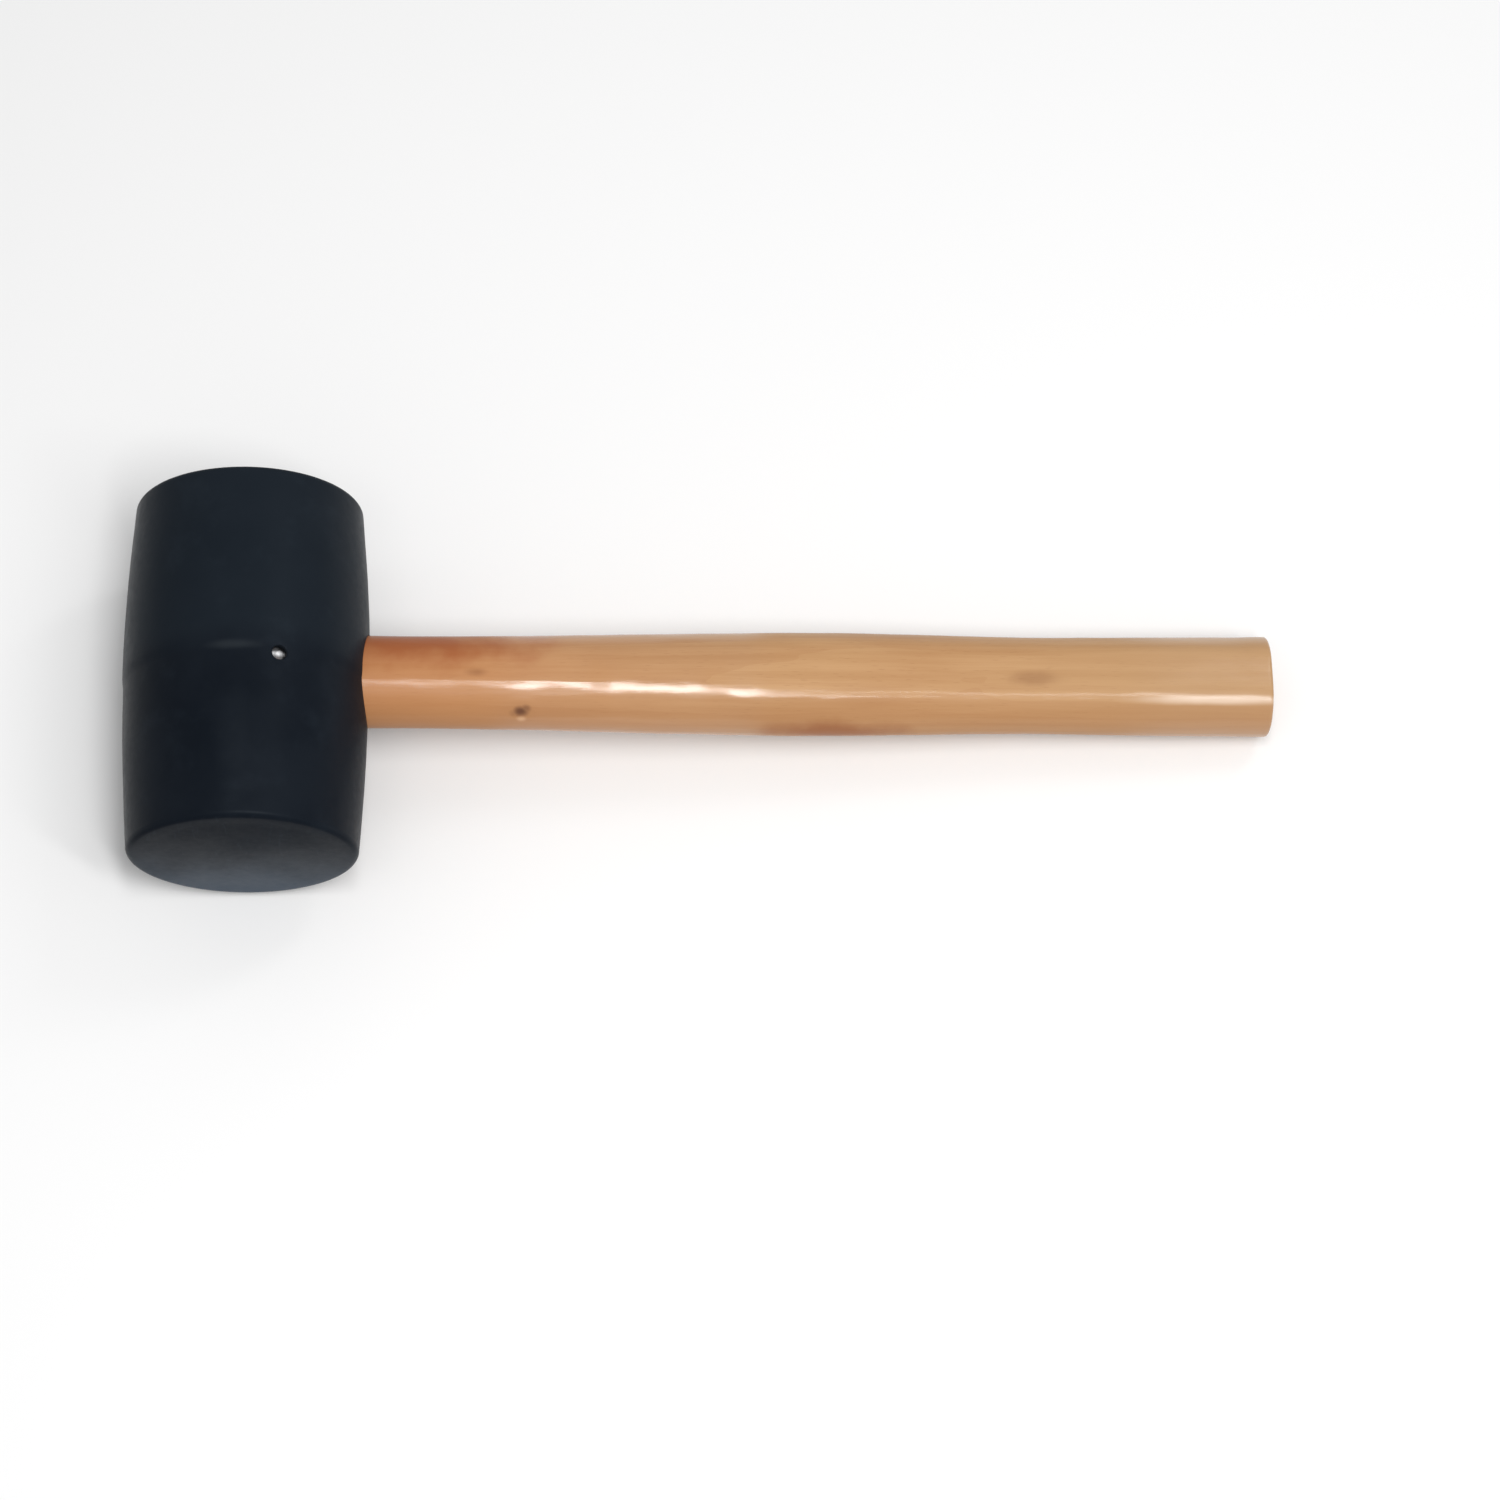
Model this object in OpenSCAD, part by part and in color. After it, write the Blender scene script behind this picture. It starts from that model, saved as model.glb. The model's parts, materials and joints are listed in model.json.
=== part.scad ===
// Rubber mallet with a wooden handle, pinned in a blind eye.
//
// The mallet lies on its side on the plane z = 0, touching it with the middle of the head and with
// the underside of the butt. +X runs from the head to the butt, +Y and -Y are the striking
// directions, and the origin is the middle of the footprint. Every piece is drawn in the tool's own
// frame (eye centre at the origin, handle along +X, head along Y) and laid down by lying().

/* [Head] */
// Largest diameter of the rubber head
head_d = 75; // [60:0.5:90]
// Diameter of the head where the rounded rims begin
head_end_d = 69.8; // [54:0.1:84]
// Length of the head from one striking face to the other
head_length = 113; // [90:1:140]
// Radius of the rim round each striking face
rim_r = 2; // [1:0.5:6]
// Height of the low step where the halves of the mould met
step_h = 0.3; // [0.2:0.1:1]
// Distance of the step from the middle of the head, towards the near face
step_y = 4; // [1:0.5:10]
// Width of the slope of the step
step_w = 0.9; // [0.5:0.1:2]

/* [Handle] */
// Length of the handle from the eye centre to the butt
handle_reach = 314; // [260:0.5:380]
// Width and thickness of the handle where it enters the head
neck = [29.1, 23.2]; // [20:0.1:36]
// Width and thickness of the swell under the palm
swell = [32.8, 25.4]; // [20:0.1:36]
// Width and thickness of the waist behind the palm
waist = [30.5, 23.8]; // [20:0.1:36]
// Width and thickness of the butt
butt = [31.6, 24.8]; // [20:0.1:36]
// Width and thickness of the tenon at its end, at the bottom of the eye
tenon_end = [27.6, 22]; // [20:0.1:29]
// Distance from the head's axis to the bottom of the eye, which is closed
eye_depth = 27; // [20:0.5:30]
// Radius of the edge round the butt
butt_edge_r = 1; // [1:0.5:4]
// Place of the swell, as a share of the handle's reach
swell_at = 0.55; // [0.4:0.01:0.65]
// Place of the waist, as a share of the handle's reach
waist_at = 0.77; // [0.7:0.01:0.85]
// Place where the butt's even section begins, as a share of the handle's reach
butt_at = 0.94; // [0.9:0.01:0.98]

/* [Pin] */
// Diameter of the steel pin's shank
pin_d = 2.6; // [2:0.1:4]
// Length of the pin with its head
pin_length = 31; // [28:0.5:34]
// Diameter of the pin's head
pin_head_d = 4.6; // [4.2:0.1:7]
// Thickness of the pin's head
pin_head_t = 1.2; // [0.8:0.1:2]
// Depth of the pin's head below the largest radius of the rubber
pin_sink = 1.7; // [1:0.1:3]
// Angle round the head from the handle's axis up to the pin
pin_angle = 72; // [60:1:120]
// Distance of the pin from the middle of the head, towards the near face
pin_y = 4.8; // [0:0.1:6]

/* [Hidden] */

head_r = head_d / 2;
half_length = head_length / 2;
past_head = head_r + 2;
neck_end = head_r + 8; // the neck keeps its section this far, then widens to the swell

// Angle at which the handle slopes down when the head and the butt both touch the ground
edge_x = handle_reach - butt_edge_r;
edge_z = butt[1] / 2 - butt_edge_r;
lie_angle = asin((head_r - butt_edge_r) / norm([edge_x, edge_z])) - atan2(edge_z, edge_x);
lying_length = head_r + edge_x * cos(lie_angle) + edge_z * sin(lie_angle) + butt_edge_r;

// Places that the handle's section is known at: x, width, thickness, share of the eight-sided shape
stations = [
    [-eye_depth, tenon_end[0], tenon_end[1], 0],
    [0, neck[0], neck[1], 0],
    [neck_end, neck[0], neck[1], 0],
    [handle_reach * swell_at, swell[0], swell[1], 0.45],
    [handle_reach * waist_at, waist[0], waist[1], 0.85],
    [handle_reach * butt_at, butt[0], butt[1], 1],
    [handle_reach, butt[0], butt[1], 1]
];

section_points = 64;
flat_share = [0.54, 0.42]; // half of the flat on the wide sides and on the narrow sides
corner_power = 10; // a higher power gives the eight-sided section sharper corners

// Moves the children from the tool's own frame to where they lie on the ground
module lying() {
    translate([head_r - lying_length / 2, 0, head_r])
        rotate([0, lie_angle, 0])
            children();
}

// ---- Handle section ----

function ease(t) = t * t * (3 - 2 * t);

// Number of the last station at or before x
function station_before(x, i = 0) =
    i >= len(stations) - 2 || x < stations[i + 1][0] ? i : station_before(x, i + 1);

// Width, thickness and eight-sided share of the handle at x
function section_at(x) =
    let (
        i = station_before(x),
        a = stations[i],
        b = stations[i + 1],
        t = ease((x - a[0]) / (b[0] - a[0]))
    )
    [for (k = [1:3]) a[k] + (b[k] - a[k]) * t];

// Reach from the axis to an oval of half width w and half thickness t, in the direction (c, s)
function oval_reach(c, s, w, t) = 1 / norm([c / w, s / t]);

// The same for a rectangle with its corners cut off and softened
function eight_sided_reach(c, s, w, t) =
    let (
        cut = [t * (1 - flat_share[1]), w * (1 - flat_share[0])],
        reach = (w * flat_share[0] * cut[0] + t * cut[1]) / norm(cut),
        towards = [c / w, s / t, (c * cut[0] + s * cut[1]) / norm(cut) / reach]
    )
    1 / pow(towards * [for (v = towards) pow(v, corner_power - 1)], 1 / corner_power);

// One ring of points round the handle at x, drawn in by inset on every side
function ring(x, inset = 0) =
    let (size = section_at(x), w = size[0] / 2 - inset, t = size[1] / 2 - inset)
    [for (k = [0:section_points - 1])
        let (
            a = 360 * k / section_points,
            oval = oval_reach(abs(cos(a)), abs(sin(a)), w, t),
            facets = eight_sided_reach(abs(cos(a)), abs(sin(a)), w, t),
            reach = oval + (facets - oval) * size[2]
        )
        [x, reach * cos(a), reach * sin(a)]];

// A closed solid through a list of rings
module loft(rings) {
    n = section_points;
    last = len(rings) - 1;
    polyhedron(
        points = [for (r = rings) each r],
        faces = concat(
            [[for (k = [0:n - 1]) k]],
            [for (i = [0:last - 1], k = [0:n - 1]) let (j = (k + 1) % n)
                each [[i * n + k, (i + 1) * n + k, (i + 1) * n + j],
                      [i * n + k, (i + 1) * n + j, i * n + j]]],
            [[for (k = [0:n - 1]) last * n + n - 1 - k]]
        )
    );
}

// ---- Rubber head ----

side_steps = 11; // straight lines that each half's bulging side is drawn with
side_end = half_length - rim_r; // where the side meets the rim

// Radius of the side at a distance from the middle, for a half that is middle_r there
function side_r(middle_r, distance) =
    middle_r - (middle_r - head_end_d / 2) * pow(distance / side_end, 2);

// Outline of one half, from the middle of its striking face to its end nearest the middle of the
// head: distances from the head's axis and from the head's middle
function half_outline(middle_r, starts_at) = concat(
    [[0, half_length]],
    [for (a = [90:-18:0])
        [head_end_d / 2 - rim_r + rim_r * cos(a), side_end + rim_r * sin(a)]],
    [for (k = [1:side_steps])
        let (t = k / side_steps, distance = side_end * (1 - t) + starts_at * t)
        [side_r(middle_r, distance), distance]]
);

near_outline = half_outline(head_r - step_h, step_y);
far_outline = half_outline(head_r, 0);

// The far half reaches past the middle to the step, where the near half is a little smaller
module barrel() {
    outline = concat(
        [for (p = near_outline) [p[0], -p[1]]],
        [[head_r, -step_y + step_w]],
        [for (k = [len(far_outline) - 1:-1:0]) far_outline[k]]
    );
    rotate([-90, 0, 0])
        rotate_extrude($fn = 144)
            polygon([for (p = outline) [p[0], -p[1]]]);
}

// The hole into the head, closed at the back, which the tenon fills
eye_stations = [-eye_depth, -eye_depth / 2, 0, past_head];
module eye() {
    loft([for (x = eye_stations) ring(x)]);
}

module rubber_head() {
    color([0.11, 0.13, 0.155])
        lying()
            difference() {
                barrel();
                eye();
                pin_hole();
            }
}

// ---- Handle ----

grip_steps = 30;
butt_turns = [22.5, 45, 67.5, 90];

// The tenon, the grip and the rounded edge of the butt, without the hole for the pin
module handle_blank() {
    loft(concat(
        [for (x = eye_stations) ring(x)],
        [for (k = [1:grip_steps]) ring(past_head + (edge_x - past_head) * k / grip_steps)],
        [for (a = butt_turns) ring(edge_x + butt_edge_r * sin(a), butt_edge_r * (1 - cos(a)))]
    ));
}

module handle() {
    color([0.8, 0.62, 0.44])
        lying()
            difference() {
                handle_blank();
                pin_hole();
            }
}

// ---- Steel pin ----

pin_top = head_r - pin_sink; // distance of the pin's flat top from the head's axis
pin_edge = 0.4; // bevel round the pin's head
pin_point = 3; // length of the point

// Turns +Z to the direction in which the pin stands out of the head
module at_pin() {
    translate([0, -pin_y, 0])
        rotate([0, 90 - pin_angle, 0])
            children();
}

// The hole that the pin fills, open to the outside above the pin's head
module pin_hole() {
    at_pin() {
        translate([0, 0, pin_top - pin_length])
            cylinder(h = pin_length, d = pin_d, $fn = 32);
        translate([0, 0, pin_top - pin_head_t])
            cylinder(h = past_head - pin_top + pin_head_t, d = pin_head_d, $fn = 32);
    }
}

module steel_pin() {
    color([0.55, 0.56, 0.58])
        lying()
            at_pin()
                translate([0, 0, pin_top])
                    rotate_extrude($fn = 32)
                        polygon([
                            [0, -pin_length],
                            [pin_d / 2, -pin_length + pin_point],
                            [pin_d / 2, -pin_head_t],
                            [pin_head_d / 2, -pin_head_t],
                            [pin_head_d / 2, -pin_edge],
                            [pin_head_d / 2 - pin_edge, 0],
                            [0, 0]
                        ]);
}

rubber_head();
handle();
steel_pin();
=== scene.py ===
"""A rubber mallet with a varnished wooden handle, lying on its side on a pale floor.

Shapes are worked out in the tool's own frame, in millimetres: eye centre at the origin, handle along
+X, head along Y. place() turns them into the row frame in metres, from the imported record's mounts.
"""
import json
import math

import bmesh
import bpy
import numpy as np
from mathutils import Matrix, Vector


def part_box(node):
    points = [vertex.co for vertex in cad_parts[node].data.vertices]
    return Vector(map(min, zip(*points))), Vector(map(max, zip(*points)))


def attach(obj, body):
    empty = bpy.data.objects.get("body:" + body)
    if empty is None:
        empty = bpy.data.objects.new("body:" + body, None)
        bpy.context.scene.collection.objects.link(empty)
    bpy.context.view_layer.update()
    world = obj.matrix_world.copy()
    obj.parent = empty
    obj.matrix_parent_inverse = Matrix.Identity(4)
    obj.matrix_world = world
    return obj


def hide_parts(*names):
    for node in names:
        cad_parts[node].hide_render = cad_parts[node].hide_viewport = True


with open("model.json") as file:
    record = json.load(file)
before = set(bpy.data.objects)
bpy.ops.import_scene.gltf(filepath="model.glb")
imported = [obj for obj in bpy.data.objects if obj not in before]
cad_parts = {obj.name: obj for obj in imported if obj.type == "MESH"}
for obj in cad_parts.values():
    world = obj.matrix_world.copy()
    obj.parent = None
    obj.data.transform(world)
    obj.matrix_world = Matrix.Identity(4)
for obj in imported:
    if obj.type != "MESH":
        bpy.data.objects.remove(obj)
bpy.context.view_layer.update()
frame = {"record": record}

MM = 0.001


# ---- The frame: where the mallet lies ----

mounts = {m["name"]: m for m in frame["record"]["mounts"]}
far_face = Vector(mounts["striking_face_far"]["pos_m"])
near_face = Vector(mounts["striking_face_near"]["pos_m"])
butt_face = Vector(mounts["handle_butt"]["pos_m"])
handle_axis = Vector(mounts["handle_butt"]["axis"]).normalized()
head_centre = (far_face + near_face) / 2
lie_angle = math.atan2(-handle_axis.z, handle_axis.x)
LYING = Matrix.Translation(head_centre) @ Matrix.Rotation(lie_angle, 4, "Y")

head_low, head_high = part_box("rubber_head")
HEAD_R = (head_high.z - head_low.z) / 2 / MM
HALF_LENGTH = (head_high.y - head_low.y) / 2 / MM
REACH = (butt_face - head_centre).length / MM - 0.01  # a hair short of the CAD's butt


def place(points):
    """Points in the tool's own frame, in millimetres, as points in the row frame, in metres."""
    turn = np.array(LYING.to_3x3())
    return np.asarray(points, float) * MM @ turn.T + np.array(LYING.translation)


def new_piece(name, verts, faces, materials, stands_for, face_material=None):
    """A smooth-shaded mesh that rides on the mallet's one body and stands for a CAD node."""
    mesh = bpy.data.meshes.new(name)
    mesh.from_pydata(place(verts).tolist(), [], faces)
    mesh.update()
    for material in materials:
        mesh.materials.append(material)
    mesh.polygons.foreach_set("use_smooth", [True] * len(mesh.polygons))
    if face_material is not None:
        mesh.polygons.foreach_set("material_index", face_material)
    tidy = bmesh.new()
    tidy.from_mesh(mesh)
    bmesh.ops.delete(tidy, geom=[v for v in tidy.verts if not v.link_faces], context="VERTS")
    bmesh.ops.recalc_face_normals(tidy, faces=tidy.faces)
    tidy.to_mesh(mesh)
    tidy.free()
    piece = bpy.data.objects.new(name, mesh)
    bpy.context.scene.collection.objects.link(piece)
    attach(piece, "root")
    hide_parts(stands_for)
    return piece


NOISE_OCTAVES = 2
NOISE_WAVES = 6  # waves added up in each octave


def smooth_noise(points, wavelength, seed):
    """Smooth random values at the points, roughly -1 to 1, with bumps about a wavelength apart."""
    state = np.random.default_rng(seed)
    total = np.zeros(len(points))
    gain = 0.0
    for octave in range(NOISE_OCTAVES):
        for _ in range(NOISE_WAVES):
            direction = state.normal(size=3)
            direction /= np.linalg.norm(direction)
            length = wavelength / 2**octave * state.uniform(0.7, 1.6)
            phase = state.uniform(0, 2 * math.pi)
            total += np.sin(points @ direction * 2 * math.pi / length + phase) / 2**octave
        gain += NOISE_WAVES**0.5 / 2**octave
    return total / gain


def step_between(low, high, value):
    """0 up to low and 1 from high, with a smooth rise between."""
    t = np.clip((value - low) / (high - low), 0, 1)
    return t * t * (3 - 2 * t)


# ---- Materials ----


class Nodes:
    """Short names for making a material's nodes and links."""

    def __init__(self, name):
        self.material = bpy.data.materials.new(name)
        self.material.use_nodes = True
        self.tree = self.material.node_tree
        self.tree.nodes.clear()
        self.output = self.tree.nodes.new("ShaderNodeOutputMaterial")

    def put(self, socket, value):
        """Links the value to the socket if it is one itself, and else sets it there."""
        if isinstance(value, bpy.types.NodeSocket):
            self.tree.links.new(value, socket)
        elif hasattr(socket.default_value, "__len__") and len(socket.default_value) == 4:
            socket.default_value = (*value[:3], 1.0)
        else:
            socket.default_value = value

    def node(self, kind, settings=None, **inputs):
        """A new node. Inputs go by name with _ for a space, or by number as i0, i1 and so on."""
        made = self.tree.nodes.new(kind)
        for key, value in (settings or {}).items():
            setattr(made, key, value)
        for key, value in inputs.items():
            name = key.replace("_", " ")
            numbered = key[0] == "i" and key[1:].isdigit()
            self.put(made.inputs[int(key[1:]) if numbered else name], value)
        return made

    def math(self, operation, a, b=0.0, c=0.0, clamp=False):
        made = self.node("ShaderNodeMath", {"operation": operation, "use_clamp": clamp}, i0=a, i1=b, i2=c)
        return made.outputs[0]

    def vector(self, operation, a, b=(0, 0, 0)):
        made = self.node("ShaderNodeVectorMath", {"operation": operation}, i0=a, i1=b)
        return made.outputs[1] if operation == "LENGTH" else made.outputs[0]

    def noise(self, vector, scale, detail, roughness=0.5, distortion=0.0):
        made = self.node(
            "ShaderNodeTexNoise",
            Vector=vector,
            Scale=scale,
            Detail=detail,
            Roughness=roughness,
            Distortion=distortion,
        )
        return made.outputs["Fac"]

    def ramp(self, value, low, high, to_low=0.0, to_high=1.0):
        """A smooth change from to_low, where the value is low, to to_high, where it is high."""
        made = self.node(
            "ShaderNodeMapRange",
            {"interpolation_type": "SMOOTHSTEP"},
            Value=value,
            From_Min=low,
            From_Max=high,
            To_Min=to_low,
            To_Max=to_high,
        )
        return made.outputs[0]

    def mix(self, factor, a, b):
        """Colour a where the factor is 0 and colour b where it is 1."""
        return self.node("ShaderNodeMix", {"data_type": "RGBA"}, i0=factor, i6=a, i7=b).outputs[2]

    def tool_frame(self):
        """The place on the tool in its own frame, in metres."""
        place_here = self.node("ShaderNodeTexCoord").outputs["Object"]
        back = LYING.inverted()
        made = self.node("ShaderNodeMapping", {"vector_type": "POINT"}, Vector=place_here)
        made.inputs["Location"].default_value = back.translation
        made.inputs["Rotation"].default_value = back.to_euler()
        return made.outputs[0]

    def stretched(self, vector, scale):
        made = self.node("ShaderNodeMapping", {"vector_type": "POINT"}, Vector=vector)
        made.inputs["Scale"].default_value = scale
        return made.outputs[0]

    def tint(self, colour, where, strength, target):
        """The colour turned towards the target by a share of strength where the mask is 1."""
        return self.mix(self.math("MULTIPLY", where, strength), colour, target)

    def weighted(self, a, share_a, b, share_b):
        return self.math("ADD", self.math("MULTIPLY", a, share_a), self.math("MULTIPLY", b, share_b))

    def bump(self, height, distance, strength):
        made = self.node("ShaderNodeBump", Height=height, Strength=strength, Distance=distance)
        return made.outputs[0]

    def principled(self, **inputs):
        shader = self.node("ShaderNodeBsdfPrincipled", **inputs)
        self.tree.links.new(shader.outputs[0], self.output.inputs["Surface"])


def srgb(r, g, b):
    """A colour given as 0 to 255 screen values, as linear values."""
    return tuple((v / 255 / 12.92) if v <= 10 else ((v / 255 + 0.055) / 1.055) ** 2.4 for v in (r, g, b))


def spot(n, p, centre, size, soft):
    """1 at a place on the tool, falling to 0 at size away from it, with an edge ragged by soft.

    Places and sizes are in millimetres.
    """
    centre_m = tuple(v * MM for v in centre)
    scale = tuple(1 / (v * MM) for v in size)
    away = n.vector("LENGTH", n.vector("MULTIPLY", n.vector("SUBTRACT", p, centre_m), scale))
    ragged = n.math("MULTIPLY", n.math("SUBTRACT", n.noise(p, 90.0, 3.0), 0.5), soft)
    return n.ramp(n.math("ADD", away, ragged), 1.0, 0.15)


RUBBER_DARK = srgb(15, 20, 27)
RUBBER_LIGHT = srgb(22, 27, 34)
RUBBER_FAR_HALF = srgb(30, 37, 44)
RUBBER_MARKED = srgb(60, 70, 80)
# painted light: the colour that the striking faces take near the floor
RUBBER_PAINTED_FLOOR_LIGHT = srgb(64, 76, 90)
FACE_BLEND = (1.2, 0.3)  # distances in from the striking face where its marks begin and are full
PAINTED_FLOOR_LIGHT_Z = (24, -38)  # heights on the face between which the painted floor light grows downwards
# painted reflections on the rubber: place, size, raggedness, strength and colour
RUBBER_PAINTED_GLEAMS = (
    ((-2.6, -3.0, 36.5), (11, 2.2, 5), 0.5, 0.12, srgb(84, 90, 94)),  # a painted reflection along the step
    ((-1, -34, 35), (7, 27, 12), 1.3, 0.06, srgb(56, 62, 68)),  # a painted upright gleam on the near half
)


def rubber_material():
    """Satin rubber, a little paler on the far half, with scuffed striking faces, painted light from the
    floor on their lower parts and painted gleams on the side.
    """
    n = Nodes("black_rubber")
    p = n.tool_frame()
    cloud = n.noise(p, 28.0, 4.0, 0.55)
    fine = n.noise(p, 420.0, 3.0, 0.6)
    grit = n.noise(p, 2600.0, 2.0, 0.5)
    base = n.mix(n.ramp(cloud, 0.3, 0.7), RUBBER_DARK, RUBBER_LIGHT)
    place_on = n.node("ShaderNodeSeparateXYZ", Vector=p)
    far_half = n.ramp(place_on.outputs["Y"], -0.006, 0.006)
    base = n.tint(base, far_half, 0.5, RUBBER_FAR_HALF)
    # the striking faces: scuffed, and lightened towards the side that the mallet lies on, as painted
    # light from the floor
    along = n.math("ABSOLUTE", place_on.outputs["Y"])
    at_face = n.ramp(along, (HALF_LENGTH - FACE_BLEND[0]) * MM, (HALF_LENGTH - FACE_BLEND[1]) * MM)
    wobble = n.math("MULTIPLY", n.math("SUBTRACT", n.noise(p, 60.0, 3.0), 0.5), 0.014)
    height_on = n.math("ADD", place_on.outputs["Z"], wobble)
    low_side = n.ramp(height_on, PAINTED_FLOOR_LIGHT_Z[0] * MM, PAINTED_FLOOR_LIGHT_Z[1] * MM)
    scratch = n.noise(n.stretched(p, (900.0, 900.0, 90.0)), 1.0, 2.0, 0.6, 0.4)
    scuff = n.math("MULTIPLY", at_face, n.ramp(scratch, 0.55, 0.85))
    # painted light: the lower part of each striking face is lightened, standing in for light cast up from
    # the floor
    painted_floor_light = n.math("MULTIPLY", at_face, n.math("POWER", low_side, 2.3))
    specks = n.math("MULTIPLY", n.ramp(n.noise(p, 70.0, 4.0, 0.6), 0.5, 0.8), 0.08)
    marks = n.math("ADD", n.math("MULTIPLY", scuff, 0.12), specks, clamp=True)
    colour = n.mix(marks, base, RUBBER_MARKED)
    colour = n.tint(colour, painted_floor_light, 0.95, RUBBER_PAINTED_FLOOR_LIGHT)
    # painted reflections: paler spots where the lights would gleam on the rubber
    for centre, size, soft, strength, painted_gleam_colour in RUBBER_PAINTED_GLEAMS:
        colour = n.tint(colour, spot(n, p, centre, size, soft), strength, painted_gleam_colour)
    off_face = n.math("SUBTRACT", 1.0, at_face)
    face_gloss = n.math("MULTIPLY_ADD", low_side, 0.1, 0.012)
    shine = n.math("ADD", n.math("MULTIPLY", off_face, 0.055), n.math("MULTIPLY", at_face, face_gloss))
    n.principled(
        Base_Color=colour,
        Roughness=n.ramp(n.weighted(cloud, 0.6, fine, 0.4), 0.3, 0.7, 0.34, 0.46),
        Specular_IOR_Level=shine,
        Specular_Tint=(0.82, 0.92, 1.0),
        Normal=n.bump(n.weighted(grit, 0.35, fine, 0.65), 0.00012, 0.3),
    )
    return n.material


# ---- Section of the handle ----

NECK = (29.1, 23.2)
SWELL = (32.8, 25.4)
WAIST = (30.5, 23.8)
BUTT = (31.6, 24.8)
TENON_END = (27.6, 22.0)
EYE_DEPTH = 27.0  # from the head's axis to the closed end of the eye
TENON_EDGE_R = 0.4
BUTT_EDGE_R = 1.0
# distance along the handle, width, thickness, and how far the oval has turned into eight flats
STATIONS = np.array(
    [
        (-EYE_DEPTH, *TENON_END, 0.0),
        (0.0, *NECK, 0.0),
        (HEAD_R + 8, *NECK, 0.0),
        (REACH * 0.55, *SWELL, 0.45),
        (REACH * 0.77, *WAIST, 0.85),
        (REACH * 0.94, *BUTT, 1.0),
        (REACH, *BUTT, 1.0),
    ]
)
FLAT_SHARE = (0.54, 0.42)  # how much of the half width and half thickness each flat takes
CORNER_POWER = 10  # the higher, the sharper the edges between the flats


def section_at(x):
    """Half width, half thickness and eight-sided share of the handle at x."""
    i = np.clip(np.searchsorted(STATIONS[:, 0], x, side="right") - 1, 0, len(STATIONS) - 2)
    a, b = STATIONS[i], STATIONS[i + 1]
    t = step_between(a[0], b[0], x)
    width, thickness, share = a[1:] + (b[1:] - a[1:]) * t
    return width / 2, thickness / 2, share


def ring(x, angles, inset=0.0):
    """One ring of points round the handle at x."""
    w, t, share = section_at(x)
    w, t = w - inset, t - inset
    c, s = np.abs(np.cos(angles)), np.abs(np.sin(angles))
    oval = 1 / np.hypot(c / w, s / t)
    cut = np.array([t * (1 - FLAT_SHARE[1]), w * (1 - FLAT_SHARE[0])])
    reach = (w * FLAT_SHARE[0] * cut[0] + t * cut[1]) / np.hypot(*cut)
    diagonal = (c * cut[0] + s * cut[1]) / np.hypot(*cut) / reach
    walls = (c / w) ** CORNER_POWER + (s / t) ** CORNER_POWER + diagonal**CORNER_POWER
    facets = 1 / walls ** (1 / CORNER_POWER)
    out = oval + (facets - oval) * share
    return np.stack([np.full_like(angles, x), out * np.cos(angles), out * np.sin(angles)], axis=1)


# ---- Handle ----

KNOT = np.array([83.2, -12.2, 7.0])  # a small knot on the near side, between the neck and the swell
HANDLE_AROUND = 224
HANDLE_RINGS = 480
END_RINGS = (0.985, 0.9, 0.7, 0.45, 0.2)  # rings across each end, as shares of the outermost


def handle_mesh():
    """Points, faces and a kind for each face, 1 for end grain and 0 for the rest."""
    around = HANDLE_AROUND
    angles = np.linspace(0, 2 * math.pi, around, endpoint=False)
    edge_x = REACH - BUTT_EDGE_R
    # the end of the tenon with its edge taken off, then the length of the handle
    rings = []
    for a in np.linspace(math.pi / 2, 0, 5)[:-1]:
        x = -EYE_DEPTH + TENON_EDGE_R * (1 - math.sin(a))
        rings.append(ring(x, angles, TENON_EDGE_R * (1 - math.cos(a))))
    rings += [ring(x, angles) for x in np.linspace(-EYE_DEPTH + TENON_EDGE_R, edge_x, HANDLE_RINGS)]
    # the rounded edge of the butt, then the end face drawn in to the middle
    for a in np.linspace(0, math.pi / 2, 9)[1:]:
        rings.append(ring(edge_x + BUTT_EDGE_R * math.sin(a), angles, BUTT_EDGE_R * (1 - math.cos(a))))
    verts = np.concatenate(rings)
    x = verts[:, 0]
    radial = verts * (0, 1, 1)
    radial /= np.linalg.norm(radial, axis=1)[:, None]
    # long, shallow waves from sanding by hand, fading out at the eye and at the butt
    long_points = verts * (0.35, 1, 1)
    short_points = verts * (0.5, 1, 1)
    waves = 0.11 * (smooth_noise(long_points, 26, 3) - 1) + 0.035 * (smooth_noise(short_points, 9, 4) - 1)
    fade = step_between(30, 60, x) * (1 - step_between(REACH - 12, REACH - 3, x))
    # the knot: a small pit inside a faint swelling
    from_knot = np.linalg.norm((verts - KNOT) * (0.7, 1, 1), axis=1)
    pit = -0.35 * np.exp(-((from_knot / 1.1) ** 2)) + 0.1 * np.exp(-(((from_knot - 3.2) / 1.3) ** 2))
    verts = verts + radial * (waves * fade + pit)[:, None]
    faces = []
    n_rings = len(rings)
    for i in range(n_rings - 1):
        for k in range(around):
            j = (k + 1) % around
            faces.append((i * around + k, i * around + j, (i + 1) * around + j, (i + 1) * around + k))
    kinds = [0] * len(faces)
    # end faces in rings towards the middle, so that they shade flat
    verts = list(verts)
    for start, flip in ((0, True), ((n_rings - 1) * around, False)):
        previous = list(range(start, start + around))
        outer = np.array([verts[v] for v in previous])
        middle = outer.mean(axis=0)
        for share in END_RINGS:
            first = len(verts)
            verts.extend(middle + (outer - middle) * share)
            current = list(range(first, first + around))
            for k in range(around):
                j = (k + 1) % around
                quad = (previous[k], previous[j], current[j], current[k])
                faces.append(quad[::-1] if flip else quad)
                kinds.append(1)
            previous = current
        faces.append(tuple(previous[::-1]) if flip else tuple(previous))
        kinds.append(1)
    return np.array(verts), faces, kinds


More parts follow.
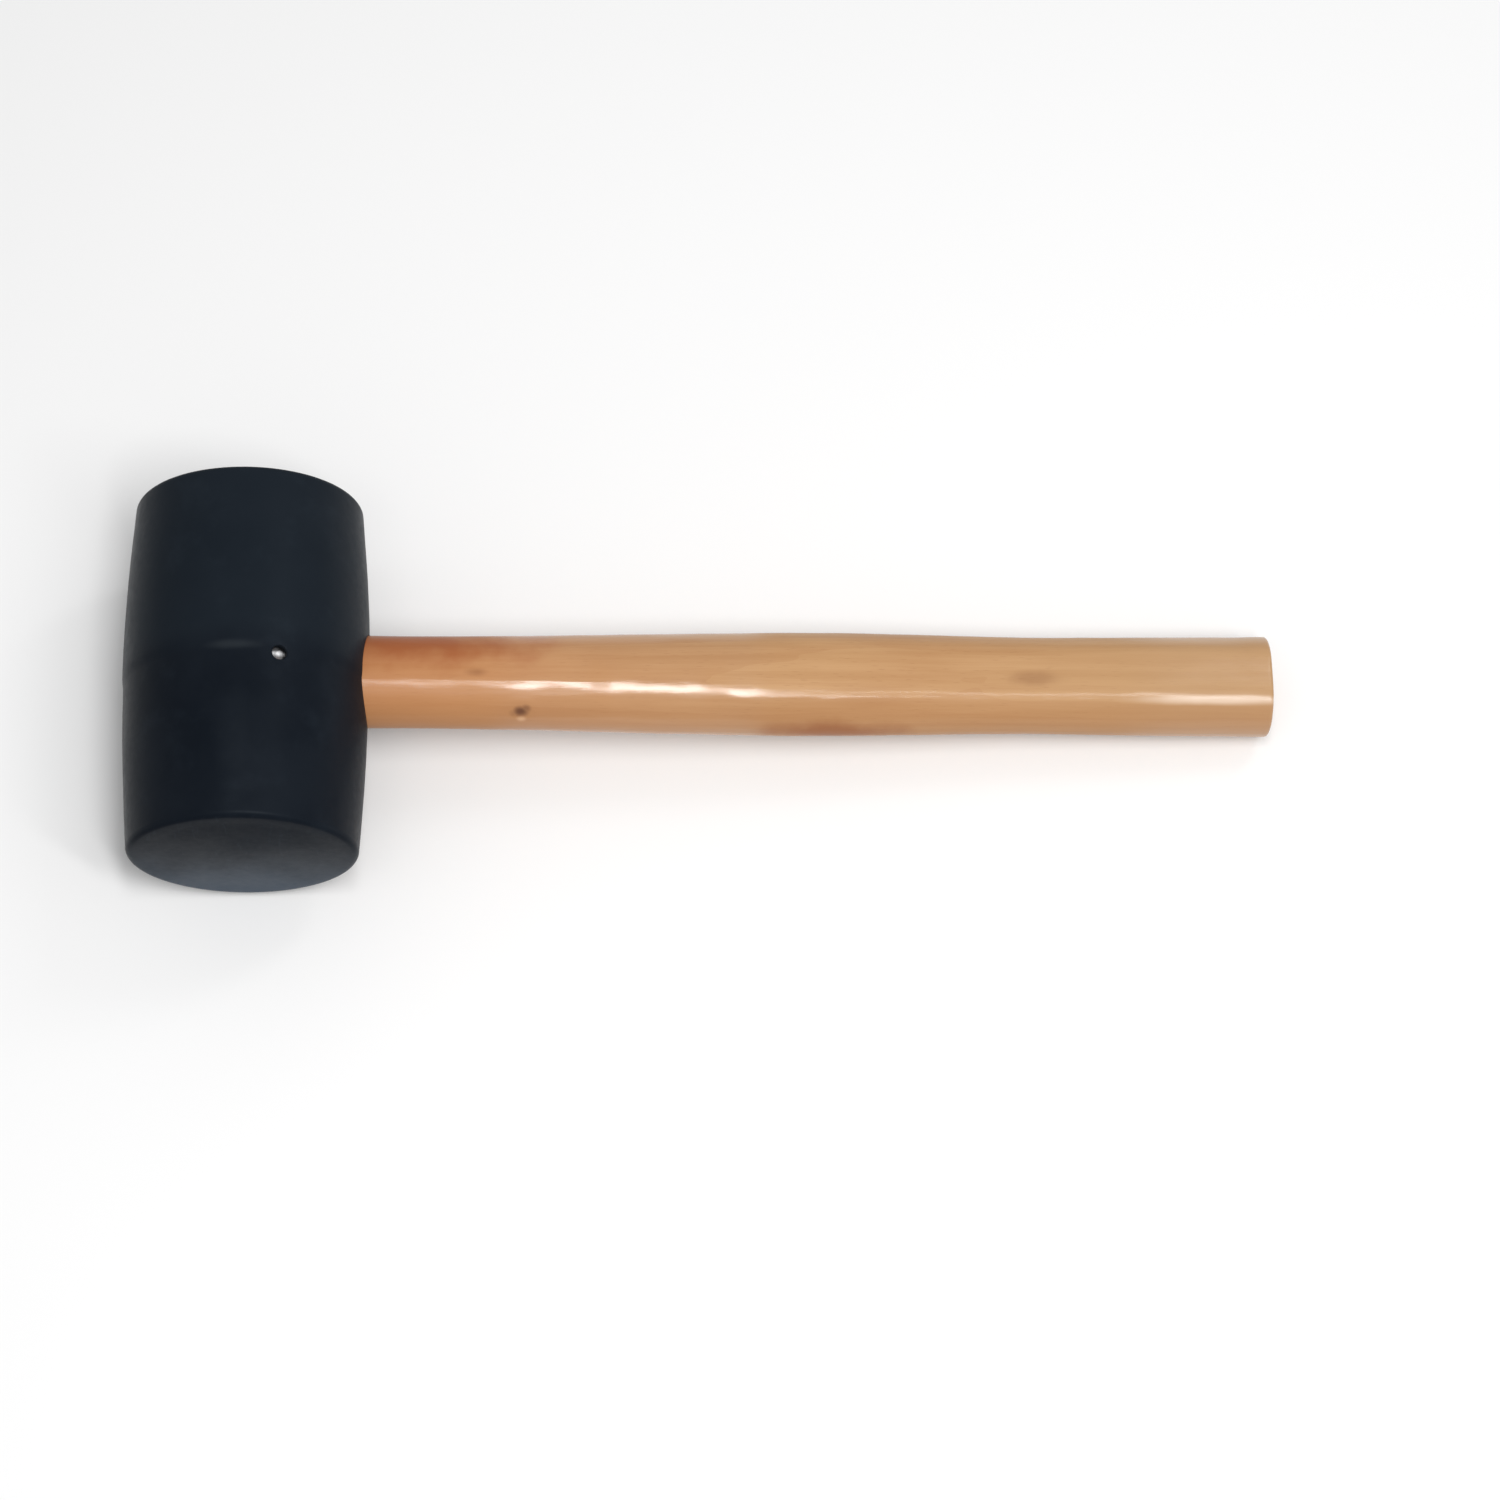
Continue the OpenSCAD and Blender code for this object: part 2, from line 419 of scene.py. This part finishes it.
WOOD_PALE = srgb(194, 151, 107)
WOOD_STRAW = srgb(185, 141, 97)
WOOD_TAN = srgb(168, 118, 76)
WOOD_RED = srgb(160, 90, 50)
WOOD_BROWN = srgb(118, 66, 34)
WOOD_AT_HEAD = srgb(182, 115, 68)
WOOD_AT_BUTT = srgb(182, 145, 104)
# painted highlight along the butt's upper near edge
WOOD_PAINTED_HIGHLIGHT = srgb(238, 214, 192)
KNOT_HEART = srgb(94, 54, 32)
KNOT_BELOW = srgb(232, 190, 150)
END_TAN = srgb(172, 124, 80)
END_DARK = srgb(128, 84, 50)
# marks on the wood: place, size, raggedness, strength and colour
WOOD_MARKS = (
    ((44, 9, 9), (62, 12, 12), 0.9, 0.95, WOOD_RED),  # the reddish far side of the neck
    ((179, -16, 1), (31, 6, 7.5), 0.9, 0.95, srgb(134, 66, 26)),  # a patch low on the near side
    ((241, -2.2, 12.2), (12, 3.4, 4), 0.9, 0.4, WOOD_BROWN),  # a faint cloud on the waist
    ((70, -1.2, 11.5), (5, 2.2, 3), 0.8, 0.4, WOOD_BROWN),  # a small smudge near the neck
)
# streaks of dark wood beside the knot: place from the knot, and strength
KNOT_ARMS = (((1.7, 0.9, 0.5), 0.55), ((-1.9, -0.5, -0.3), 0.3))
# spots where the varnish is worn: place along the handle, and half the length
VARNISH_WORN = ((107.4, 5.5), (142.6, 7.0))


def wood_grain(n, p):
    """Growth rings, streaks, fibre and flecks of the wood at p, the place on the tool, each 0 to 1."""
    bend = n.noise(n.stretched(p, (5.0, 30.0, 30.0)), 1.0, 2.0)
    bend_way = n.node("ShaderNodeCombineXYZ", X=0.0, Y=bend, Z=bend).outputs[0]
    turned = n.vector("ADD", p, n.vector("MULTIPLY", bend_way, (0, 0.006, 0.009)))
    growth = n.node(
        "ShaderNodeTexWave",
        {"wave_type": "BANDS", "bands_direction": "Z", "wave_profile": "SAW"},
        Vector=n.stretched(turned, (0.15, 0.55, 1.0)),
        Scale=95.0,
        Distortion=3.2,
        Detail=3.0,
        Detail_Scale=1.2,
        Detail_Roughness=0.6,
    ).outputs["Fac"]
    streaks = n.noise(n.stretched(p, (14.0, 420.0, 420.0)), 1.0, 5.0, 0.62)
    fibre = n.noise(n.stretched(p, (60.0, 1500.0, 1500.0)), 1.0, 3.0, 0.6)
    flecks = n.node(
        "ShaderNodeTexVoronoi",
        {"feature": "F1"},
        Vector=n.stretched(p, (170.0, 1400.0, 1400.0)),
        Scale=1.0,
        Randomness=1.0,
    ).outputs["Distance"]
    return growth, streaks, fibre, n.ramp(flecks, 0.05, 0.28, 1.0, 0.0)


def wood_colour(n, p, along, across, grain):
    """Colour of the handle's wood at p, with its marks and the knot, painted shade on the near side and a
    painted highlight along the butt's upper near edge.
    """
    growth, streaks, fibre, flecks = grain
    colour = n.mix(n.ramp(streaks, 0.32, 0.68), WOOD_STRAW, WOOD_PALE)
    colour = n.tint(colour, n.ramp(growth, 0.45, 1.0), 0.2, WOOD_TAN)
    colour = n.tint(colour, n.ramp(fibre, 0.5, 0.8), 0.22, WOOD_TAN)
    colour = n.tint(colour, flecks, 0.16, WOOD_BROWN)
    cloud = n.noise(n.stretched(p, (16.0, 60.0, 60.0)), 1.0, 3.0, 0.5)
    colour = n.tint(colour, n.ramp(cloud, 0.5, 0.75), 0.3, WOOD_TAN)
    # the wood turns redder towards the head
    nearer_head = n.ramp(n.math("ADD", along, n.math("MULTIPLY", cloud, 0.06)), 0.2, 0.05)
    colour = n.tint(colour, nearer_head, 0.6, WOOD_AT_HEAD)
    for centre, size, soft, strength, mark in WOOD_MARKS:
        colour = n.tint(colour, spot(n, p, centre, size, soft), strength, mark)
    # it is greyer towards the butt, darker and browner on the near side as painted shade, and a pale band
    # along its upper near edge is a painted highlight
    colour = n.tint(colour, n.ramp(along, 0.2, 0.3), 0.5, WOOD_AT_BUTT)
    # painted shade: the near side is darkened towards tan
    colour = n.tint(colour, n.ramp(across, -0.006, -0.014), 0.5, WOOD_TAN)
    # painted highlight: a pale band along the edge between the top flat and the near bevel
    colour = n.tint(colour, spot(n, p, (297, -8.9, 11.3), (36, 1.9, 4), 0.25), 0.6, WOOD_PAINTED_HIGHLIGHT)
    # the knot: a dark heart with a pale spot below it, in a ring of darker wood
    colour = n.tint(colour, spot(n, p, KNOT, (7, 4.2, 5), 0.6), 0.35, WOOD_TAN)
    below = spot(n, p, KNOT + (0.3, -1.7, -1.9), (2.0, 1.2, 1.8), 0.3)
    colour = n.tint(colour, below, 0.4, KNOT_BELOW)
    heart = spot(n, p, KNOT, (2.9, 2.0, 2.6), 1.1)
    for offset, strength in KNOT_ARMS:
        arm = spot(n, p, KNOT + offset, (2.1, 1.5, 2.2), 0.9)
        heart = n.math("MAXIMUM", heart, n.math("MULTIPLY", arm, strength))
    return n.tint(colour, heart, 0.92, KNOT_HEART)


def wood_material(end_grain=False):
    """The handle's wood under varnish, or its end grain, which shows the growth rings."""
    n = Nodes("handle_end_grain" if end_grain else "varnished_wood")
    p = n.tool_frame()
    place_on = n.node("ShaderNodeSeparateXYZ", Vector=p)
    along, across = place_on.outputs["X"], place_on.outputs["Y"]
    grain = wood_grain(n, p)
    growth, streaks, fibre, _ = grain
    colour = wood_colour(n, p, along, across, grain)
    if end_grain:
        rays = n.noise(n.stretched(p, (200.0, 900.0, 2400.0)), 1.0, 3.0, 0.6)
        colour = n.mix(0.45, colour, END_TAN)
        colour = n.tint(colour, n.ramp(growth, 0.2, 1.0), 0.45, END_DARK)
        colour = n.tint(colour, n.ramp(rays, 0.5, 0.8), 0.35, WOOD_BROWN)
        n.principled(
            Base_Color=colour,
            Roughness=0.62,
            Coat_Weight=0.25,
            Coat_Roughness=0.35,
            Normal=n.bump(rays, 0.0003, 0.6),
        )
        return n.material
    peel = n.noise(n.stretched(p, (30.0, 70.0, 70.0)), 1.0, 2.0, 0.5)
    # the varnish is worn thin at the neck and under the hand, and whole at the swell and the butt
    at_swell = n.math("MULTIPLY", n.ramp(along, 0.07, 0.086), n.ramp(along, 0.162, 0.15))
    at_butt = n.ramp(along, 0.262, 0.288)
    for worn_x, worn_length in VARNISH_WORN:
        worn = spot(n, p, (worn_x, -5, 11), (worn_length, 10, 10), 0.7)
        at_swell = n.math("MULTIPLY", at_swell, n.math("MULTIPLY_ADD", worn, -0.8, 1.0))
    whole = n.math("MAXIMUM", at_swell, at_butt)
    n.principled(
        Base_Color=colour,
        Roughness=n.ramp(streaks, 0.3, 0.7, 0.42, 0.55),
        Specular_IOR_Level=0.15,
        Normal=n.bump(n.weighted(streaks, 0.6, fibre, 0.4), 0.00015, 0.35),
        Coat_Weight=n.math("MULTIPLY_ADD", whole, 0.55, 0.22),
        Coat_Roughness=n.math("MULTIPLY_ADD", at_butt, 0.1, 0.12),
        Coat_Normal=n.bump(n.math("ADD", peel, n.math("MULTIPLY", streaks, 0.12)), 0.0008, 0.7),
    )
    return n.material


STEEL_DARK = (0.1, 0.1, 0.105)
STEEL_DULL = (0.2, 0.2, 0.205)
# painted highlight on the pin's head
STEEL_PAINTED_GLINT = (0.75, 0.75, 0.76)
RUST = srgb(96, 58, 36)


def steel_material():
    """Dull, spotted steel, with a painted highlight: a bright band across the pin's head."""
    n = Nodes("pin_steel")
    p = n.tool_frame()
    mottle = n.noise(p, 350.0, 4.0, 0.65)
    pits = n.noise(p, 1500.0, 3.0, 0.6)
    rust = n.ramp(n.noise(p, 190.0, 5.0, 0.7), 0.56, 0.72)
    colour = n.mix(mottle, STEEL_DARK, STEEL_DULL)
    colour = n.tint(colour, rust, 0.75, RUST)
    top = tuple(PIN_TOP * way for way in PIN_WAY)
    # painted highlight: a bright band across the pin's head, standing in for its glint
    painted_glint = spot(n, p, (top[0], PIN_Y, top[2]), (3.2, 1.15, 3.2), 0.25)
    colour = n.mix(painted_glint, colour, STEEL_PAINTED_GLINT)
    n.principled(
        Base_Color=colour,
        Metallic=n.math("SUBTRACT", 1.0, n.math("MULTIPLY", rust, 0.7)),
        Roughness=n.ramp(mottle, 0.3, 0.7, 0.3, 0.5),
        Normal=n.bump(n.math("ADD", mottle, n.math("MULTIPLY", pits, 0.4)), 0.0002, 0.5),
    )
    return n.material


# ---- Rubber head ----

RIM_R = 2.0
END_R = 69.8 / 2  # radius where the rounded rims begin
SIDE_END = HALF_LENGTH - RIM_R
STEP_H = 0.3  # the near half is this much smaller where the halves of the mould met
STEP_Y = (-4.4, -0.4)  # where the gentle slope between the halves begins and ends
LIP_R = 0.5  # rounded edge of the eye
PIN_ANGLE = math.radians(72)  # round the head from the handle's axis
PIN_WAY = (math.cos(PIN_ANGLE), 0.0, math.sin(PIN_ANGLE))
PIN_Y = -4.8
PIN_D = 2.6
PIN_LENGTH = 31.0
PIN_HEAD_D = 4.6
PIN_HEAD_T = 1.2
PIN_TOP = HEAD_R - 1.7  # distance of the pin's head from the head's axis
PIN_DOME = 0.3
PLAY = 0.02  # how much smaller the pin is than its hole
PATCH_Y = 22.0  # half the width of the patch of mesh round the mouth of the eye
PATCH_STEPS = 26  # half the height of that patch, in steps round the head
AROUND = 288
FACE_RINGS = 26
FACE_HOLLOW = 0.15  # how far the middle of a striking face lies below its rim
PATCH_RINGS = 16
DRAWN_DEPTH = 0.25  # how far the rubber is drawn down round the pin


def side_r(y):
    """Radius of the head's side at y along it, with the low step between the two halves."""
    middle_r = HEAD_R - STEP_H * step_between(STEP_Y[1], STEP_Y[0], y)
    return middle_r - (middle_r - END_R) * (y / SIDE_END) ** 2


def dent(verts):
    """How far the rubber's skin lies inside its ideal surface."""
    return 0.05 * (smooth_noise(verts, 30, 11) - 1) + 0.015 * (smooth_noise(verts, 8, 12) - 1)


def head_mesh():
    """Points and faces of the rubber, with its closed eye but without the hole for the pin."""
    verts, faces = [], []

    def add(points):
        first = len(verts)
        verts.extend(np.asarray(points, float).tolist())
        return list(range(first, first + len(points)))

    def bridge(a, b):
        for k in range(len(a)):
            j = (k + 1) % len(a)
            faces.append((a[k], a[j], b[j], b[k]))

    theta = np.arange(AROUND) * 2 * math.pi / AROUND
    close_lines = np.concatenate([np.arange(0, 2.4, 0.6), np.arange(2.5, 5.0, 0.13)])
    outer_lines = np.linspace(PATCH_Y, SIDE_END, 36)
    half = np.concatenate([close_lines, np.arange(5.4, PATCH_Y - 0.4, 0.9), outer_lines])
    ys = np.concatenate([-half[:0:-1], half])
    low = int(np.argmin(np.abs(ys + PATCH_Y)))
    high = int(np.argmin(np.abs(ys - PATCH_Y)))

    def on_side(angle, y):
        r = side_r(np.asarray(y, float))
        return np.stack([r * np.cos(angle), y + 0 * r, r * np.sin(angle)], axis=-1)

    grid = [add(on_side(theta, np.full(AROUND, y))) for y in ys]

    def in_patch(k, i):
        """Whether the cell from theta k and y row i lies in the patch round the mouth of the eye."""
        return low <= i < high and (k + PATCH_STEPS) % AROUND < 2 * PATCH_STEPS

    for i in range(len(ys) - 1):
        for k in range(AROUND):
            if not in_patch(k, i):
                j = (k + 1) % AROUND
                faces.append((grid[i][k], grid[i + 1][k], grid[i + 1][j], grid[i][j]))

    # rims and striking faces
    for side, row in ((-1, grid[0]), (1, grid[-1])):
        previous = row
        for a in np.linspace(0, math.pi / 2, 11)[1:]:
            r = END_R - RIM_R + RIM_R * math.cos(a)
            y = side * (SIDE_END + RIM_R * math.sin(a))
            current = add(np.stack([r * np.cos(theta), np.full(AROUND, y), r * np.sin(theta)], axis=1))
            bridge(current, previous) if side < 0 else bridge(previous, current)
            previous = current
        for share in np.linspace(1, 0, FACE_RINGS)[1:-1]:
            r = (END_R - RIM_R) * share
            y = side * (HALF_LENGTH - FACE_HOLLOW * step_between(1, 0.8, share))
            current = add(np.stack([r * np.cos(theta), np.full(AROUND, y), r * np.sin(theta)], axis=1))
            bridge(current, previous) if side < 0 else bridge(previous, current)
            previous = current
        faces.append(tuple(previous) if side < 0 else tuple(previous[::-1]))

    # the eye: a patch of rings from the grid down to the lip, then the wall down to the closed end
    corner_y = 13.5  # where the corners of the patch meet the lip
    straight = 6.0  # the grid lines nearer the middle than this run straight on to the lip
    stretch = (PATCH_Y - straight) / (corner_y - straight)

    def lip_y(y):
        """Where a grid line at y meets the lip, keeping the lines of the step straight."""
        s = np.clip((np.abs(y) - straight) / (PATCH_Y - straight), 0, 1)
        beyond = straight + (corner_y - straight) * s * stretch / (1 + (stretch - 1) * s)
        return np.sign(y) * np.where(np.abs(y) <= straight, np.abs(y), beyond)

    w, t = NECK[0] / 2, NECK[1] / 2
    outer_w = w + LIP_R
    corner = math.asin(corner_y / outer_w)
    loop, psi = [], []
    rows = list(range(low, high + 1))
    for i in rows:  # up the upper edge, y rising
        loop.append(grid[i][PATCH_STEPS])
        psi.append(math.asin(lip_y(ys[i]) / outer_w))
    for step in range(PATCH_STEPS - 1, -PATCH_STEPS, -1):  # across the end with y high
        loop.append(grid[high][step % AROUND])
        psi.append(corner + (math.pi - 2 * corner) * (PATCH_STEPS - step) / (2 * PATCH_STEPS))
    for i in rows[::-1]:  # down the lower edge
        loop.append(grid[i][-PATCH_STEPS % AROUND])
        psi.append(math.pi - math.asin(lip_y(ys[i]) / outer_w))
    for step in range(-PATCH_STEPS + 1, PATCH_STEPS):  # back across the end with y low
        loop.append(grid[low][step % AROUND])
        share = (step + PATCH_STEPS) / (2 * PATCH_STEPS)
        psi.append(math.pi + corner + (math.pi - 2 * corner) * share)
    psi = np.array(psi)
    edge = np.array([verts[v] for v in loop])
    edge_y = edge[:, 1]
    edge_angle = np.arctan2(edge[:, 2], edge[:, 0])
    normal = np.stack([np.sin(psi) / w, np.cos(psi) / t], axis=1)
    normal /= np.linalg.norm(normal, axis=1)[:, None]
    oval = np.stack([w * np.sin(psi), t * np.cos(psi)], axis=1)

    def at_lip(out):
        """Points on the side surface a distance out from the wall of the eye, as y, z and surface x."""
        y, z = (oval + normal * out).T
        return y, z, np.sqrt(side_r(y) ** 2 - z**2)

    lip_at_y, lip_at_z, lip_at_x = at_lip(LIP_R)
    lip_angle = np.arctan2(lip_at_z, lip_at_x)
    previous = loop
    for s in np.linspace(0, 1, PATCH_RINGS + 1)[1:]:
        s = 1 - (1 - s) ** 1.25
        y = edge_y + (lip_at_y - edge_y) * s
        current = add(on_side(edge_angle + (lip_angle - edge_angle) * s, y))
        bridge(previous, current)
        previous = current
    for a in np.linspace(0, math.pi / 2, 7)[1:]:
        y, z, x = at_lip(LIP_R * (1 - math.sin(a)))
        current = add(np.stack([x - LIP_R * (1 - math.cos(a)), y, z], axis=1))
        bridge(previous, current)
        previous = current
    # the wall of the eye down to its closed end
    for x in np.linspace(20, -EYE_DEPTH, 10):
        w, t, _ = section_at(x)
        current = add(np.stack([np.full(len(psi), x), w * np.sin(psi), t * np.cos(psi)], axis=1))
        bridge(previous, current)
        previous = current
    faces.append(tuple(previous[::-1]))
    verts = np.array(verts)
    # the skin: shallow dents, and the rubber drawn down round the pin
    out = verts * (1, 0, 1)
    radius = np.linalg.norm(out, axis=1)
    out = out / np.maximum(radius, 1)[:, None]
    on_skin = (radius > 30) & (np.abs(verts[:, 1]) < SIDE_END)
    from_pin = verts - PIN_TOP * np.array(PIN_WAY) - (0, PIN_Y, 0)
    from_pin -= np.outer(from_pin @ PIN_WAY, PIN_WAY)
    drawn = -DRAWN_DEPTH * np.exp(-((np.linalg.norm(from_pin, axis=1) / (PIN_HEAD_D * 0.75)) ** 4))
    fade = 1 - step_between(SIDE_END - 6, SIDE_END, np.abs(verts[:, 1]))
    verts += out * ((dent(verts) * fade + drawn) * on_skin)[:, None]
    return verts, faces


# ---- Cutting ----


def spun(profile, around):
    """A closed solid from a profile of (radius, distance along the pin), spun round the pin."""
    turns = np.linspace(0, 2 * math.pi, around, endpoint=False)
    across = np.array((-PIN_WAY[2], 0, PIN_WAY[0]))
    level = np.array((0, -1.0, 0))
    verts = [
        np.array(PIN_WAY) * along + (0, PIN_Y, 0) + radius * (across * math.cos(a) + level * math.sin(a))
        for radius, along in profile
        for a in turns
    ]
    faces = []
    for i in range(len(profile) - 1):
        for k in range(around):
            j = (k + 1) % around
            faces.append((i * around + k, i * around + j, (i + 1) * around + j, (i + 1) * around + k))
    last = (len(profile) - 1) * around
    faces += [tuple(range(around))[::-1], tuple(range(last, last + around))]
    return np.array(verts), faces


def cut_away(piece, verts, faces):
    """Cuts a closed shape out of the piece's mesh for good."""
    mesh = bpy.data.meshes.new("cutter")
    mesh.from_pydata(place(verts).tolist(), [], faces)
    mesh.update()
    tool = bpy.data.objects.new("cutter", mesh)
    bpy.context.scene.collection.objects.link(tool)
    modifier = piece.modifiers.new("cut", "BOOLEAN")
    modifier.operation = "DIFFERENCE"
    modifier.solver = "EXACT"
    modifier.object = tool
    bpy.context.view_layer.update()
    cut = piece.evaluated_get(bpy.context.evaluated_depsgraph_get())
    made = bpy.data.meshes.new_from_object(cut)
    # split the many-sided faces that the cut leaves, so that no needle is left in them
    split = bmesh.new()
    split.from_mesh(made)
    many_sided = [f for f in split.faces if len(f.verts) > 4]
    bmesh.ops.triangulate(split, faces=many_sided, quad_method="BEAUTY", ngon_method="BEAUTY")
    split.to_mesh(made)
    split.free()
    piece.modifiers.clear()
    old = piece.data
    piece.data = made
    bpy.data.meshes.remove(old)
    bpy.data.objects.remove(tool)


# ---- Steel pin ----


def pin_mesh():
    """The pin: a point, a shank and a low domed head, marked by the hammer."""
    shank, head = PIN_D / 2 - PLAY, PIN_HEAD_D / 2 - PLAY
    under_head = PIN_TOP - PIN_HEAD_T + PLAY
    profile = [(0.1, PIN_TOP - PIN_LENGTH + 0.1), (shank, PIN_TOP - PIN_LENGTH + 3.0)]
    profile += [(shank, along) for along in np.linspace(PIN_TOP - PIN_LENGTH + 3.5, under_head, 12)]
    profile += [(head * 0.8, under_head), (head - 0.08, under_head), (head, under_head + 0.1)]
    rim = PIN_TOP - PIN_DOME
    profile.append((head, rim - 0.2))
    for a in np.linspace(0.3, math.pi / 2, 4):
        profile.append((head - 0.2 * (1 - math.cos(a)), rim - 0.2 + 0.2 * math.sin(a)))
    for share in np.linspace(0.88, 0.04, 14):
        profile.append((head * share, rim + PIN_DOME * (1 - share**2)))
    verts, faces = spun(profile, 72)
    at_top = step_between(rim - 0.1, rim + 0.1, verts @ PIN_WAY)
    dents = 0.06 * (smooth_noise(verts, 2.6, 31) - 1)
    return verts + np.outer(at_top * dents, PIN_WAY), faces


# ---- Pieces ----

rubber = rubber_material()
wood = wood_material()
end_wood = wood_material(end_grain=True)
steel = steel_material()

verts, faces = head_mesh()
head = new_piece("head_rubber", verts, faces, [rubber], "rubber_head")
verts, faces, kinds = handle_mesh()
handle = new_piece("handle_wood", verts, faces, [wood, end_wood], "handle", kinds)
hole_bottom, under_head = PIN_TOP - PIN_LENGTH, PIN_TOP - PIN_HEAD_T
hole = [
    (PIN_D / 2, hole_bottom),
    (PIN_D / 2, under_head),
    (PIN_HEAD_D / 2, under_head),
    (PIN_HEAD_D / 2, HEAD_R + 2),
]
for piece in (head, handle):
    cut_away(piece, *spun(hole, 64))
verts, faces = pin_mesh()
new_piece("steel_pin_nail", verts, faces, [steel], "steel_pin")


# ---- Stage ----

FLOOR = 6.0
WORLD_STRENGTH = 0.45

floor_mesh = bpy.data.meshes.new("floor")
corners = [(-FLOOR, -FLOOR, 0), (FLOOR, -FLOOR, 0), (FLOOR, FLOOR, 0), (-FLOOR, FLOOR, 0)]
floor_mesh.from_pydata(corners, [], [(0, 1, 2, 3)])
floor = bpy.data.objects.new("floor", floor_mesh)
bpy.context.scene.collection.objects.link(floor)
n = Nodes("pale_floor")
n.principled(Base_Color=(0.9, 0.9, 0.9), Roughness=0.7, Specular_IOR_Level=0.2)
floor_mesh.materials.append(n.material)


def area_light(name, place_at, aim, size, power):
    """A rectangular light at a place, aimed at another, in metres and watts."""
    data = bpy.data.lights.new(name, "AREA")
    data.shape = "RECTANGLE"
    data.size, data.size_y = size
    data.energy = power
    light = bpy.data.objects.new(name, data)
    light.location = place_at
    light.rotation_euler = (Vector(aim) - Vector(place_at)).to_track_quat("-Z", "Y").to_euler()
    bpy.context.scene.collection.objects.link(light)


world = bpy.data.worlds.new("studio")
bpy.context.scene.world = world
world.use_nodes = True
world.node_tree.nodes["Background"].inputs[0].default_value = (1, 1, 1, 1)
world.node_tree.nodes["Background"].inputs[1].default_value = WORLD_STRENGTH

# lights beside the camera: the key, whose reflection is the streak on the handle, one to the right
# for the line on the butt, and a wide weak one to the left for the glint on the rim; the last, far to
# the right, gives the upright gleam on the head
area_light("key", (0.145, -0.36, 1.24), (0, 0, 0.03), (0.13, 0.7), 8)
area_light("right", (0.52, -0.46, 1.2), (0, 0, 0.03), (0.12, 0.7), 3.8)
area_light("left", (-0.2, -0.46, 1.22), (0, 0, 0.03), (0.5, 0.22), 0.8)
area_light("gleam", (0.76, 0.58, 1.2), (-0.12, 0, 0.07), (0.2, 0.5), 1.6)

bpy.context.scene.view_settings.view_transform = "Standard"

# ---- Camera ----

CAMERA_AZIMUTH = math.radians(1.004)
CAMERA_ELEVATION = math.radians(68.95)
CAMERA_ROLL = math.radians(-2.34)
CAMERA_DISTANCE = 1.3
CAMERA_TARGET = head_centre + Vector((0.1528, -0.0197, -0.0175))
SENSOR_WIDTH = 36.0
LENS = 101.7528

back = Vector(
    (
        math.sin(CAMERA_AZIMUTH) * math.cos(CAMERA_ELEVATION),
        -math.cos(CAMERA_AZIMUTH) * math.cos(CAMERA_ELEVATION),
        math.sin(CAMERA_ELEVATION),
    )
)
level = Vector((math.cos(CAMERA_AZIMUTH), math.sin(CAMERA_AZIMUTH), 0))
upright = back.cross(level)
right = level * math.cos(CAMERA_ROLL) + upright * math.sin(CAMERA_ROLL)
up = upright * math.cos(CAMERA_ROLL) - level * math.sin(CAMERA_ROLL)
camera_data = bpy.data.cameras.new("camera")
camera_data.sensor_width = SENSOR_WIDTH
camera_data.lens = LENS
camera = bpy.data.objects.new("camera", camera_data)
turn = Matrix((right, up, back)).transposed().to_4x4()
camera.matrix_world = Matrix.Translation(CAMERA_TARGET + back * CAMERA_DISTANCE) @ turn
bpy.context.scene.collection.objects.link(camera)
bpy.context.scene.camera = camera
